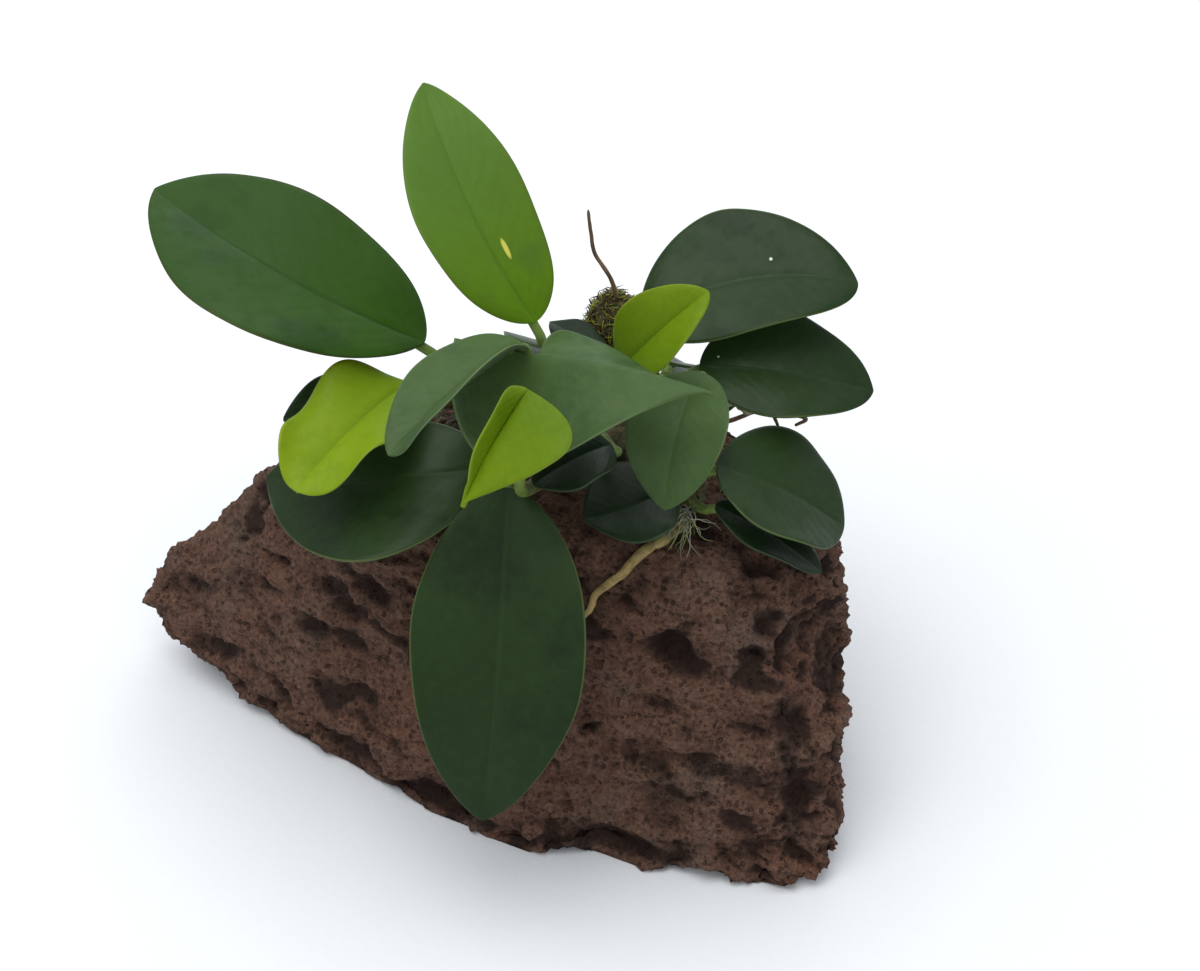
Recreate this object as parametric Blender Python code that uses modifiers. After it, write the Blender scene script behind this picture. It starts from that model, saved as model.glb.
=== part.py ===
"""Anubias on stone: a dwarf anubias whose creeping rhizome grips a piece of lava stone.

The stone, each branch of the rhizome, each leaf stalk, each leaf blade and each root is one object.
Run with: blender --background --python part.py

Frame: metres, +Z up, +X along the stone. The origin is on the stone's flat underside.
Lengths in the tables below are millimetres and angles are degrees.
"""

import math
from typing import NamedTuple

import bmesh
import bpy
from mathutils import Matrix, Vector, noise
from mathutils.bvhtree import BVHTree
from mathutils.geometry import interpolate_bezier

MM = 0.001
GAP = 0.35  # clearance between two pieces that grow against each other

# Stone: the corners of the broken block, and how rough it is
STONE_CENTRE = Vector((2.0, 4.0, 24.0))
STONE_HALF = Vector((62.0, 34.0, 27.0))  # spreads the mesh evenly along the long stone
STONE_CUTS = 12  # cuts along each edge of the starting cube
STONE_LUMP = 2.2  # height of the rough lumps
STONE_LUMP_SIZE = 16.0  # distance from lump to lump
STONE_FOOT_HEIGHT = 6.0  # the lumps fade out below this height, so the underside stays flat
STONE_CORNERS = (
    # foot, round from the left tip along the front, then back along the rear
    (-58, -13.5, 3), (-41, -20, 2), (-28, -20, 0), (-16, -22, 0), (4, -27, 0), (12, -27, 0), (30, -17, 0),
    (57, -16, 0), (60, -10, 3), (44, 24, 2), (10, 34, 0), (-30, 18, 0), (-55, -2, 0),
    # left end
    (-67, -14, 13), (-62, -10, 20), (-55, -10, 28), (-50, -5, 34), (-54, 0, 14),
    # right end
    (60, -7, 12), (58, -4, 18), (53, 2, 26), (48, 20, 30), (44, 28, 16),
    # crown
    (-43, -5, 41), (-34, -12, 44), (-20, -14, 50), (14, -9, 56), (38, -4, 50), (46, 13, 45), (47, 22, 42),
    (26, 32, 46), (5, 35, 52), (-22, 14, 52),
)
STONE_HOLLOWS = (  # centre, radius and depth of the larger broken-out hollows
    ((54.0, 4.0, 31.0), 13.0, 6.0),
)


class Branch(NamedTuple):
    """One branch of the rhizome: places on the stone's crown that it creeps over, and its girth."""

    places: tuple
    radius: float
    tip_radius: float


BRANCHES = {
    "rhizome_main": Branch(((2, 24), (4, 16), (7, 8), (8, 1)), 3.3, 2.6),
    "rhizome_left": Branch(((-1.5, 18), (-8, 17), (-15, 9)), 2.7, 2.2),
    "rhizome_right": Branch(((10.0, 11), (19, 9), (28, 7)), 2.7, 2.2),
}


# Leaf and root colours: leaves start lime green and darken with age
LIME = (0.27, 0.38, 0.03)
MID_GREEN = (0.06, 0.17, 0.03)
DARK_GREEN = (0.02, 0.06, 0.03)
STALK_GREEN = (0.12, 0.20, 0.04)
ROOT_OCHRE = (0.36, 0.26, 0.10)
BARK_OLIVE = (0.16, 0.14, 0.06)
LAVA_BROWN = (0.11, 0.055, 0.04)


class Leaf(NamedTuple):
    """One leaf: its blade from base to tip, and where its stalk leaves the rhizome."""

    branch: str
    along: float  # share of the branch's length, from its old end
    lean: float  # side of the branch that the stalk leaves from, 0 on top, positive to its right
    base: tuple
    tip: tuple
    width: float
    lead: float = 0.0  # how far the stalk leans along its branch as it leaves it
    skew: float = 0.0  # extra share of the width on the right of the midrib
    roll: float = 0.0  # turn of the blade about its length, right half down when positive
    arch: float = 0.06  # rise of the midrib over a straight line, as a share of the length
    sweep: float = 0.0  # bow of the midrib to the right, as a share of the length
    fold: tuple = (8.0, 8.0)  # rise of the left and of the right half
    twist: float = 0.0  # further turn of the tip against the base
    belly: float = 0.45  # where the blade is widest, as a share of the length
    fullness: float = 0.65  # smaller makes a blunter, more oblong blade
    lobe: float = 0.0  # how far the right half reaches back past the stalk, as a share of the length
    wave: float = 0.5  # height of the ripples along the margin
    phase: float = 0.0  # shift of the ripples along the margin, in radians
    swing: tuple = (0, 0, 0)  # how far the stalk bows out of its straight way
    colour: tuple = DARK_GREEN


LEAVES = {
    "far_left": Leaf(
        "rhizome_left", 0.70, 20, (-16.8, 4.9, 70), (-61.6, 3.6, 85.5), 32, sweep=-0.11, fullness=0.68,
        belly=0.5, colour=MID_GREEN
    ),
    "top": Leaf(
        "rhizome_main", 0.42, 15, (-0.4, 9.7, 76), (-24.1, 21.7, 104), 19.5, sweep=-0.08, colour=MID_GREEN
    ),
    "right_upper": Leaf(
        "rhizome_right", 0.05, -60, (11.6, 21.0, 72), (40.5, 36.1, 78), 21.5, skew=-0.08, roll=22,
        sweep=-0.09, fullness=0.55
    ),
    "right_middle": Leaf(
        "rhizome_right", 0.35, -50, (22.0, 19.9, 68), (46.4, 29.6, 64), 18.5, skew=-0.08, roll=20,
        fullness=0.6
    ),
    "right_lower": Leaf(
        "rhizome_right", 0.92, 0, (30.8, 6.2, 62), (49.3, 11.5, 52.5), 23, belly=0.5, fullness=0.5
    ),
    "right_under": Leaf("rhizome_right", 0.97, 50, (32.0, 3.4, 57), (48.5, 5.0, 48.5), 10),
    "centre_over": Leaf(
        "rhizome_main", 0.66, -10, (5.8, -1.4, 80), (31.7, 1.0, 80), 25, skew=0.4, roll=20, fold=(-50, -10),
        twist=-50, belly=0.25, fullness=1.05, lobe=0.5, swing=(0, 5, 0)
    ),
    "centre_left": Leaf(
        "rhizome_main", 0.54, 40, (2.1, -0.6, 80.5), (-5.7, -25.8, 76), 16.5, skew=-0.15, roll=-10,
        fold=(60, 0)
    ),
    "lime_centre": Leaf(
        "rhizome_main", 1.0, 0, (11.1, -15.6, 86), (7.4, -29.0, 74), 14.5, skew=-0.55, lead=2.0,
        fold=(5, 75), belly=0.24, fullness=0.85, swing=(-1.5, -8.5, -3), colour=LIME
    ),
    "lime_left": Leaf(
        "rhizome_left", 0.90, -40, (-16, -2, 67.5), (-20.6, -27.6, 65), 16, skew=0.08, fold=(5, 25),
        wave=2.2, phase=4.0, belly=0.48, fullness=0.45, colour=LIME
    ),
    "left_low": Leaf(
        "rhizome_main", 0.74, 75, (0.4, -8.5, 62), (-33.0, -16.6, 54), 25, skew=-0.2, roll=-20, sweep=-0.07
    ),
    "left_behind": Leaf("rhizome_left", 0.97, 10, (-20.0, 4.5, 59.5), (-33.5, -10.0, 60), 12, lead=1.0),
    "front": Leaf("rhizome_main", 0.92, 40, (5.6, -12.1, 63), (13.8, -39, 22), 26, sweep=-0.02),
    "centre_drop": Leaf(
        "rhizome_right", 0.60, -15, (24.5, 13.7, 72), (26.9, -3.8, 60), 15, arch=0.12, sweep=0.03
    ),
    "under_right": Leaf(
        "rhizome_right", 0.62, 60, (25.2, 3.3, 57.8), (15.5, -7.0, 56.2), 18, arch=0.02, sweep=-0.08
    ),
    "under_centre": Leaf(
        "rhizome_main", 0.80, -50, (17.5, -2.0, 67.5), (9.8, -12.0, 65), 13, swing=(-2, 0, 0)
    ),
    "lime_small": Leaf(
        "rhizome_main", 0.44, -35, (14.2, 8.7, 73), (24.9, 15.2, 86), 12.5, fold=(20, 25), roll=35,
        colour=LIME
    ),
    "back_dark": Leaf("rhizome_main", 0.30, -20, (6.5, 19.0, 64), (-4.5, 23.0, 65), 6.5),
    "rear_left": Leaf("rhizome_main", 0.12, 60, (-9.0, 30.5, 53), (-12.0, 44.0, 32), 20, arch=0.12),
    "rear_right": Leaf("rhizome_main", 0.06, -70, (12.0, 32.0, 56), (13.0, 46.0, 34), 18, arch=0.12),
}


class Root(NamedTuple):
    """One root: the places that it passes, its thickness, and whether it clings to the stone."""

    places: tuple
    radius: float
    tip_radius: float
    clings: bool = True


ROOTS = {
    "root_front": Root(
        ((28.5, 3, 53), (27, -0.5, 53), (24.5, -5.5, 52), (22.5, -9, 50), (20.5, -11.5, 46),
         (18, -13.5, 41.5)), 1.1, 0.5
    ),
    "root_back_left": Root(((-12, 25, 54), (-18, 28, 44), (-20, 30, 30), (-25, 30, 16)), 0.9, 0.5),
    "root_back_middle": Root(((2, 34, 54), (3, 38, 44), (0, 40, 30), (4, 40, 14)), 1.0, 0.5),
    "root_back_right": Root(((14, 26, 56), (20, 34, 44), (22, 36, 28), (27, 36, 15)), 0.8, 0.4),
    "root_left": Root(((-20, 10, 56), (-28, 12, 48), (-36, 12, 34), (-40, 14, 20)), 0.8, 0.4),
    "root_right": Root(((32, 15, 52), (38, 22, 45), (41, 28, 34), (41, 30, 20)), 0.8, 0.4),
    "root_rising": Root(
        ((4.2, 29.6, 69), (3.4, 28.2, 72.5), (0.8, 28, 76.5), (0, 28, 81), (-0.3, 28, 84.5)),
        0.4, 0.3, False
    ),
    "root_fine_inner": Root(((24, 22, 55), (30.2, 27.6, 56), (32.7, 27.1, 54)), 0.4, 0.3, False),
    "root_fine_outer": Root(((27, 29, 54), (35.5, 30.8, 54), (34.5, 29.5, 53)), 0.4, 0.3, False),
    "cut_stalk": Root(((23, 14, 59), (25.5, 18, 62), (27.5, 20.5, 63), (31, 20, 62)), 1.2, 1.3, False),
}
OLD_END_CENTRE = Vector((3.3, 29.4, 62.2))
OLD_END_HALF = Vector((4.3, 4.3, 6.4))

BLADE_THICKNESS = 0.9
BLADE_LENGTH_STEPS = 8
BLADE_WIDTH_STEPS = 4
BLADE_END_WIDTH = 1.2  # width where the blade runs into its stalk, and at its blunt tip
STALK_RADIUS = 1.15
STALK_TOP_RADIUS = 0.8
STALK_STEPS = 6
STALK_BEND = 0.5  # how far a stalk turns towards its blade's direction before it meets the blade


def material(name, colour, roughness):
    """A plain Principled material in the piece's colour."""
    made = bpy.data.materials.new(name)
    made.use_nodes = True
    shader = made.node_tree.nodes["Principled BSDF"]
    shader.inputs["Base Color"].default_value = (*colour, 1.0)
    shader.inputs["Roughness"].default_value = roughness
    shader.inputs["Metallic"].default_value = 0.0
    made.diffuse_color = (*colour, 1.0)
    return made


def add_object(name, data, collection, finish):
    """Links a mesh or a curve into the collection under its own name and material."""
    data.materials.append(finish)
    made = bpy.data.objects.new(name, data)
    collection.objects.link(made)
    return made


def block_of_corners(corners):
    """The plain block that has the given corners, as a tree for casting rays at."""
    block = bmesh.new()
    for corner in corners:
        block.verts.new(corner)
    bmesh.ops.convex_hull(block, input=block.verts)
    tree = BVHTree.FromBMesh(block)
    block.free()
    return tree


def stone_point(block, direction):
    """The point of the rough stone in a direction from its centre."""
    point = block.ray_cast(STONE_CENTRE, direction)[0]
    lump = STONE_LUMP * min(max(point.z, 0.0) / STONE_FOOT_HEIGHT, 1.0)
    point += direction * lump * noise.fractal(point / STONE_LUMP_SIZE, 0.9, 2.1, 3)
    for centre, radius, depth in STONE_HOLLOWS:
        near = (point - Vector(centre)).length / radius
        if near < 1.0:
            point -= direction * depth * (1.0 - near * near) ** 2
    return point


def make_stone(collection, finish):
    """The lava stone: a fine cube blown up onto the block of corners, whose underside is flat."""
    block = block_of_corners(STONE_CORNERS)
    shape = bmesh.new()
    bmesh.ops.create_cube(shape, size=2.0)
    bmesh.ops.subdivide_edges(shape, edges=shape.edges, cuts=STONE_CUTS, use_grid_fill=True)
    for vert in shape.verts:
        spread = vert.co.normalized() * STONE_HALF
        vert.co = stone_point(block, spread.normalized()) * MM
    mesh = bpy.data.meshes.new("stone")
    shape.to_mesh(mesh)
    tree = BVHTree.FromBMesh(shape)
    shape.free()
    add_object("stone", mesh, collection, finish)
    return tree


def resting_place(stone, x, y, radius):
    """The centre, in millimetres, of a ball lowered onto the stone at x and y."""
    ground = stone.ray_cast(Vector((x, y, 200.0)) * MM, Vector((0, 0, -1)))[0] / MM
    centre = ground + Vector((0, 0, radius))
    for _ in range(20):
        distance = stone.find_nearest(centre * MM)[3] / MM
        centre.z += max(0.0, radius - distance)
    return centre


def smooth_path(points, steps):
    """Points along one smooth curve that passes through all of the given ones."""
    ends = [points[0] * 2 - points[1], *points, points[-1] * 2 - points[-2]]
    path = []
    for before, start, end, after in zip(ends, ends[1:], ends[2:], ends[3:]):
        leaving = start + (end - before) / 6
        arriving = end - (after - start) / 6
        path += interpolate_bezier(start, leaving, arriving, end, steps + 1)[:-1]
    return path + [points[-1]]


def make_tube(name, path, start_radius, end_radius, collection, finish):
    """A round stem along a path, which tapers evenly and has closed ends."""
    curve = bpy.data.curves.new(name, "CURVE")
    curve.dimensions = "3D"
    curve.bevel_depth = MM
    curve.bevel_resolution = 1
    curve.use_fill_caps = True
    spline = curve.splines.new("POLY")
    spline.points.add(len(path) - 1)
    for index, (point, place) in enumerate(zip(spline.points, path)):
        share = index / (len(path) - 1)
        point.co = (*(place * MM), 1.0)
        point.radius = start_radius + (end_radius - start_radius) * share
    return add_object(name, curve, collection, finish)


def turned(vector, axis, angle):
    """A vector turned about an axis by an angle in degrees."""
    return Matrix.Rotation(math.radians(angle), 3, axis) @ vector


def blade_axes(leaf):
    """A blade's own directions: along its chord, to its right, and out of its upper side."""
    chord = (Vector(leaf.tip) - Vector(leaf.base)).normalized()
    upper = (Vector((0, 0, 1)) - chord * chord.z).normalized()
    upper = turned(upper, chord, leaf.roll)
    return chord, chord.cross(upper), upper


def blade_half_width(leaf, along):
    """Half a blade's mean width, from a rounded base to a short point, at a share of its length."""
    rise = 2 * leaf.fullness * leaf.belly
    fall = 2 * leaf.fullness * (1 - leaf.belly)
    widest = leaf.belly**rise * (1 - leaf.belly) ** fall
    outline = along**rise * (1 - along) ** fall / widest
    return max(outline * leaf.width, BLADE_END_WIDTH) / 2


def blade_point(leaf, along, across):
    """A point of the blade: along goes from 0 to 1 and across from -1 (left) to 1 (right)."""
    chord, right, upper = blade_axes(leaf)
    length = (Vector(leaf.tip) - Vector(leaf.base)).length
    bow = 4 * along * (1 - along) * length
    midrib = Vector(leaf.base) + chord * along * length
    midrib += upper * bow * leaf.arch + right * bow * leaf.sweep
    spin = leaf.twist * (along - 0.5)
    right, upper = turned(right, chord, spin), turned(upper, chord, spin)
    side = math.copysign(1.0, across)
    reach = blade_half_width(leaf, along) * abs(across) * (1 + side * leaf.skew)
    flatter = 1 - (2 * along - 1) ** 8
    fold = math.radians(leaf.fold[0] if across < 0 else leaf.fold[1]) * flatter
    ripple = leaf.wave * abs(across) ** 3 * math.sin(9 * along + 2 * across + leaf.phase)
    ripple *= 1 - (2 * along - 1) ** 4
    spread = right * side * reach * math.cos(fold) + upper * (reach * math.sin(fold) + ripple)
    return midrib + spread - chord * leaf.lobe * length * max(across, 0.0) ** 2 * (1 - along) ** 2


def make_blade(name, leaf, collection, finish):
    """A leaf blade: a flat grid shaped by the leaf's measures, then given its thickness."""
    shape = bmesh.new()
    bmesh.ops.create_grid(shape, x_segments=BLADE_WIDTH_STEPS, y_segments=BLADE_LENGTH_STEPS, size=1.0)
    for vert in shape.verts:
        along = (1 - math.cos(math.pi * (vert.co.y + 1) / 2)) / 2
        vert.co = blade_point(leaf, along, vert.co.x) * MM
    mesh = bpy.data.meshes.new(name)
    shape.to_mesh(mesh)
    shape.free()
    blade = add_object(name, mesh, collection, finish)
    sheet = blade.modifiers.new("thickness", "SOLIDIFY")
    sheet.thickness = BLADE_THICKNESS * MM
    sheet.offset = 0.0
    return blade


def make_stalk(name, leaf, rhizome, collection, finish):
    """A leaf stalk, from the side of its rhizome branch to the start of its blade."""
    branch = BRANCHES[leaf.branch]
    path = rhizome[leaf.branch]
    place = leaf.along * (len(path) - 1)
    index = min(int(place), len(path) - 2)
    axis_point = path[index].lerp(path[index + 1], place - index)
    forward = (path[index + 1] - path[index]).normalized()
    right = forward.cross(Vector((0, 0, 1))).normalized()
    outward = (turned(right.cross(forward), forward, leaf.lean) + forward * leaf.lead).normalized()
    girth = branch.radius + (branch.tip_radius - branch.radius) * leaf.along
    start = axis_point + outward * (girth + 2 * GAP)
    base = Vector(leaf.base)
    entry = (blade_point(leaf, 0.04, 0) - base).normalized()
    arrival = (entry * STALK_BEND + Vector((0, 0, 1))).normalized()
    end = base - arrival * (GAP + BLADE_THICKNESS) - entry * GAP
    pull = (end - start).length * 0.4
    swing = Vector(leaf.swing)
    leaving, arriving = start + outward * pull + swing, end - arrival * pull + swing
    route = interpolate_bezier(start, leaving, arriving, end, STALK_STEPS)
    return make_tube(name, route, STALK_RADIUS, STALK_TOP_RADIUS, collection, finish)


def grip(stone, place, lift):
    """The point above the stone's surface, seen from its centre, in the direction of a place."""
    direction = (place - STONE_CENTRE).normalized()
    outside = STONE_CENTRE + direction * 200.0
    return stone.ray_cast(outside * MM, -direction)[0] / MM + direction * lift


def make_root(name, root, stone, collection, finish):
    """A root along its places, either free or clinging to the stone."""
    path = smooth_path([Vector(place) for place in root.places], 4)
    if root.clings:
        path = [grip(stone, place, root.radius + GAP + 0.7) for place in path]
    return make_tube(name, path, root.radius, root.tip_radius, collection, finish)


def make_old_end(collection, finish):
    """The rhizome's old end: a knobbly stump that stands up behind the leaves."""
    shape = bmesh.new()
    bmesh.ops.create_icosphere(shape, subdivisions=2, radius=1.0)
    for vert in shape.verts:
        knob = 1.0 + 0.18 * noise.noise(vert.co * 2.3)
        vert.co = (OLD_END_CENTRE + vert.co * OLD_END_HALF * knob) * MM
    mesh = bpy.data.meshes.new("rhizome_old_end")
    shape.to_mesh(mesh)
    shape.free()
    return add_object("rhizome_old_end", mesh, collection, finish)


def main():
    for obj in list(bpy.data.objects):
        bpy.data.objects.remove(obj)
    collection = bpy.data.collections.new("anubias_on_stone")
    bpy.context.scene.collection.children.link(collection)
    lava = material("lava_stone", LAVA_BROWN, 0.95)
    bark = material("rhizome_skin", BARK_OLIVE, 0.6)
    stone = make_stone(collection, lava)
    rhizome = {}
    for name, branch in BRANCHES.items():
        places = [resting_place(stone, x, y, branch.radius + GAP) for x, y in branch.places]
        rhizome[name] = smooth_path(places, 4)
        make_tube(name, rhizome[name], branch.radius, branch.tip_radius, collection, bark)
    for name, leaf in LEAVES.items():
        make_blade(name + "_blade", leaf, collection, material(name + "_blade", leaf.colour, 0.35))
        make_stalk(name + "_stalk", leaf, rhizome, collection, material(name + "_stalk", STALK_GREEN, 0.45))
    make_old_end(collection, bark)
    for name, root in ROOTS.items():
        make_root(name, root, stone, collection, material(name, ROOT_OCHRE, 0.6))


main()
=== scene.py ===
"""Anubias on stone: a dwarf anubias whose rhizome and roots grip a piece of lava stone.

The stone, the creeping rhizome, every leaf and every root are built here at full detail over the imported
solids. Tables hold millimetres and degrees, in the solids' own frame: +Z up, +X along the stone. GAP is
the space between neighbouring solids, and a blade has VEINS side veins, which run forward by VEIN_SLANT
of their spacing from the midrib to the margin.
"""

import itertools
import logging
import math
import random
from collections.abc import Callable, Sequence
from dataclasses import dataclass, field
from enum import Enum

import bpy
import numpy as np
from mathutils import Matrix, Vector, noise
from mathutils.bvhtree import BVHTree
from mathutils.geometry import interpolate_bezier

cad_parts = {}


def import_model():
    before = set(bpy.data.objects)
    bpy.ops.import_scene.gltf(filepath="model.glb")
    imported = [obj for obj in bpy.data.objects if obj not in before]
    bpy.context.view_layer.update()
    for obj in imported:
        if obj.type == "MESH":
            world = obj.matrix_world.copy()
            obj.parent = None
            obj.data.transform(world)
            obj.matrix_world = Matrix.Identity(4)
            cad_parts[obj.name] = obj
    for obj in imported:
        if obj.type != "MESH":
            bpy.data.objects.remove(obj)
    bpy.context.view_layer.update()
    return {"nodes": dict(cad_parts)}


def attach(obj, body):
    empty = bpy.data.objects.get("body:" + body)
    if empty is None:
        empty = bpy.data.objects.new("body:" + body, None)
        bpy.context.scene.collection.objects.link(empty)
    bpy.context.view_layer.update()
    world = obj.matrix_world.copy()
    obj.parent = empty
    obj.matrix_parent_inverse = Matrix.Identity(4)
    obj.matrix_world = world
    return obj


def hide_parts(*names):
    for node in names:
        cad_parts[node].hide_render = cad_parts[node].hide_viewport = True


MM = 0.001
GAP = 0.35
UP = Vector((0.0, 0.0, 1.0))
NOISE_SEED = 11
VEINS = 11.0
VEIN_SLANT = 3.2

Colour = tuple[float, float, float]
Place = tuple[float, float, float]
Output = bpy.types.NodeSocket

log = logging.getLogger("anubias")


# ---------------------------------------------------------------- shapes


def turned(vector: Vector, axis: Vector, angle: float) -> Vector:
    """Turns a vector about an axis by an angle in degrees."""
    return Matrix.Rotation(math.radians(angle), 3, axis) @ vector


def smooth_path(places: Sequence[Vector], steps: int) -> list[Vector]:
    """Draws one smooth curve through places.

    Args:
        places: the points that the curve passes through.
        steps: stretches of the curve between two neighbouring places.

    Returns:
        The points along the curve, both ends included.
    """
    ends = [places[0] * 2 - places[1], *places, places[-1] * 2 - places[-2]]
    path = []
    for before, start, end, after in zip(ends, ends[1:], ends[2:], ends[3:]):
        leaving = start + (end - before) / 6
        arriving = end - (after - start) / 6
        path += interpolate_bezier(start, leaving, arriving, end, steps + 1)[:-1]
    return path + [places[-1]]


def tapered(start: float, end: float, share: float) -> float:
    """Gives the radius at a share of the way from one end to the other."""
    return start + (end - start) * share


def scatter(pick: random.Random, spread: float) -> Vector:
    """Draws a random offset, about as wide as spread along each axis."""
    return Vector([pick.gauss(0, spread) for _ in range(3)])


def surface_tree(mesh: bpy.types.Mesh) -> BVHTree:
    """Makes a tree of a mesh's surface, in millimetres."""
    points = [vert.co / MM for vert in mesh.vertices]
    return BVHTree.FromPolygons(points, [tuple(face.vertices) for face in mesh.polygons])


def sheet_faces(rows: int, columns: int) -> list[tuple[int, ...]]:
    """Joins two grids of points, one over the other, into one closed sheet.

    Args:
        rows: points along each grid.
        columns: points across it.

    Returns:
        The faces, whose indices run over the upper grid and then over the lower one.
    """
    count = rows * columns
    faces = []
    for i in range(rows - 1):
        for j in range(columns - 1):
            corner = i * columns + j
            quad = (corner, corner + 1, corner + columns + 1, corner + columns)
            faces.append(quad)
            faces.append(tuple(count + index for index in reversed(quad)))
    rim = list(range(columns))
    rim += [i * columns + columns - 1 for i in range(1, rows)]
    rim += [(rows - 1) * columns + j for j in range(columns - 2, -1, -1)]
    rim += [i * columns for i in range(rows - 2, 0, -1)]
    for start, end in zip(rim, rim[1:] + rim[:1]):
        faces.append((end, start, count + start, count + end))
    return faces


@dataclass
class Skin:
    """Points, faces and per-point values that are gathered into one mesh."""

    points: list[np.ndarray] = field(default_factory=list)
    faces: list[tuple[int, ...]] = field(default_factory=list)
    values: dict[str, list[np.ndarray]] = field(default_factory=dict)
    count: int = 0

    def add(self, points: np.ndarray, faces: Sequence[tuple[int, ...]], **values: np.ndarray) -> None:
        """Adds one closed surface.

        Args:
            points: its points in millimetres, one a row.
            faces: its faces, as indices into points.
            **values: one number for each point, by the name that a material reads it by.
        """
        self.points.append(points)
        self.faces += [tuple(index + self.count for index in face) for face in faces]
        for name, numbers in values.items():
            self.values.setdefault(name, []).append(numbers)
        self.count += len(points)

    def piece(self, name: str, finish: bpy.types.Material) -> bpy.types.Object:
        """Makes the smooth-shaded object and rides it on the model's one body.

        Args:
            name: the new object's name.
            finish: its material.

        Returns:
            The object, linked into the scene.
        """
        mesh = bpy.data.meshes.new(name)
        mesh.from_pydata((np.vstack(self.points) * MM).tolist(), [], self.faces)
        for label, numbers in self.values.items():
            layer = mesh.attributes.new(label, "FLOAT", "POINT")
            layer.data.foreach_set("value", np.concatenate(numbers).astype(np.float32))
        mesh.shade_smooth()
        mesh.materials.append(finish)
        made = bpy.data.objects.new(name, mesh)
        bpy.context.scene.collection.objects.link(made)
        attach(made, "root")
        return made

    def tube(
        self,
        path: Sequence[Vector],
        radius_at: Callable[[float, float], float],
        sides: int,
        shade: float = 0.0,
    ) -> None:
        """Adds a round stem with closed ends along a path.

        Args:
            path: the points of its axis, in millimetres.
            radius_at: its radius from the share of its length and the turn about its axis in radians.
            sides: faces around it.
            shade: one value for the whole stem, which its material may read.
        """
        side = (path[1] - path[0]).orthogonal().normalized()
        rings, alongs, arounds = [], [], []
        turns = [2 * math.pi * step / sides for step in range(sides)]
        last = len(path) - 1
        for index, place in enumerate(path):
            forward = (path[min(index + 1, last)] - path[max(index - 1, 0)]).normalized()
            side = (side - forward * side.dot(forward)).normalized()
            across = forward.cross(side)
            share = index / last
            for turn in turns:
                outward = side * math.cos(turn) + across * math.sin(turn)
                rings.append(place + outward * radius_at(share, turn))
                alongs.append(share)
                arounds.append(turn)
        faces = [
            (
                ring * sides + step,
                ring * sides + (step + 1) % sides,
                (ring + 1) * sides + (step + 1) % sides,
                (ring + 1) * sides + step,
            )
            for ring in range(last)
            for step in range(sides)
        ]
        faces.append(tuple(reversed(range(sides))))
        faces.append(tuple(range(last * sides, (last + 1) * sides)))
        shades = np.full(len(rings), shade)
        self.add(np.array(rings), faces, along=np.array(alongs), around=np.array(arounds), shade=shades)


# ---------------------------------------------------------------- shaders


class Graph:
    """A node tree that is written as a formula: each method adds a node and gives back its output."""

    def __init__(self, tree: bpy.types.NodeTree) -> None:
        """Keeps the tree that the nodes go into."""
        self.tree = tree

    def node(self, kind: str, inputs: dict, **settings: object) -> bpy.types.Node:
        """Adds one node.

        Args:
            kind: the node's type, without the word ShaderNode.
            inputs: what feeds its sockets, by name or number: outputs, numbers or colours.
            **settings: its own properties.

        Returns:
            The node.
        """
        made = self.tree.nodes.new("ShaderNode" + kind)
        for name, value in settings.items():
            setattr(made, name, value)
        for name, value in inputs.items():
            socket = made.inputs[name]
            if isinstance(value, Output):
                self.tree.links.new(value, socket)
            elif socket.type == "RGBA":
                socket.default_value = (*value, 1.0)
            else:
                socket.default_value = value
        return made

    def math(self, operation: str, *values: object) -> Output:
        """Works out a sum, product or other operation of numbers."""
        return self.node("Math", dict(enumerate(values)), operation=operation).outputs[0]

    def mix(self, share: object, first: object, second: object) -> Output:
        """Blends two colours by a share from 0 to 1."""
        return self.node("Mix", {0: share, 6: first, 7: second}, data_type="RGBA").outputs[2]

    def ramp(self, value: object, low: object, high: object, start: float = 0.0, end: float = 1.0) -> Output:
        """Maps the range from low to high smoothly onto start to end, and holds it outside."""
        inputs = {0: value, 1: low, 2: high, 3: start, 4: end}
        return self.node("MapRange", inputs, interpolation_type="SMOOTHSTEP").outputs[0]

    def attribute(self, name: str) -> Output:
        """Reads a per-point value of the mesh."""
        return self.node("Attribute", {}, attribute_name=name).outputs["Fac"]

    def places(self) -> Output:
        """Reads the object's own coordinates."""
        return self.node("TexCoord", {}).outputs["Object"]

    def noise(self, scale: object, detail: float = 3.0, rough: float = 0.55, vector: object = None) -> Output:
        """Reads a cloudy noise from 0 to 1.

        Args:
            scale: lumps a metre.
            detail: finer layers added to it.
            rough: how strong the finer layers are.
            vector: where it is read, the object's own coordinates when left out.

        Returns:
            The noise's output.
        """
        inputs = {"Vector": vector or self.places(), "Scale": scale, "Detail": detail, "Roughness": rough}
        return self.node("TexNoise", inputs).outputs[0]

    def group(self, effect: "Effect", **inputs: object) -> bpy.types.Node:
        """Places a shared effect.

        Args:
            effect: the effect.
            **inputs: its values here, numbers or outputs, whose names have _ for a space.

        Returns:
            The group's node.
        """
        made = self.tree.nodes.new("ShaderNodeGroup")
        made.node_tree = effect.tree
        for name, value in inputs.items():
            socket = made.inputs[name.replace("_", " ").title()]
            if isinstance(value, Output):
                self.tree.links.new(value, socket)
            else:
                socket.default_value = value
        return made

    def mask(self, effect: "Effect", **inputs: object) -> Output:
        """Places a shared effect and reads its first output."""
        return self.group(effect, **inputs).outputs[0]


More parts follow.
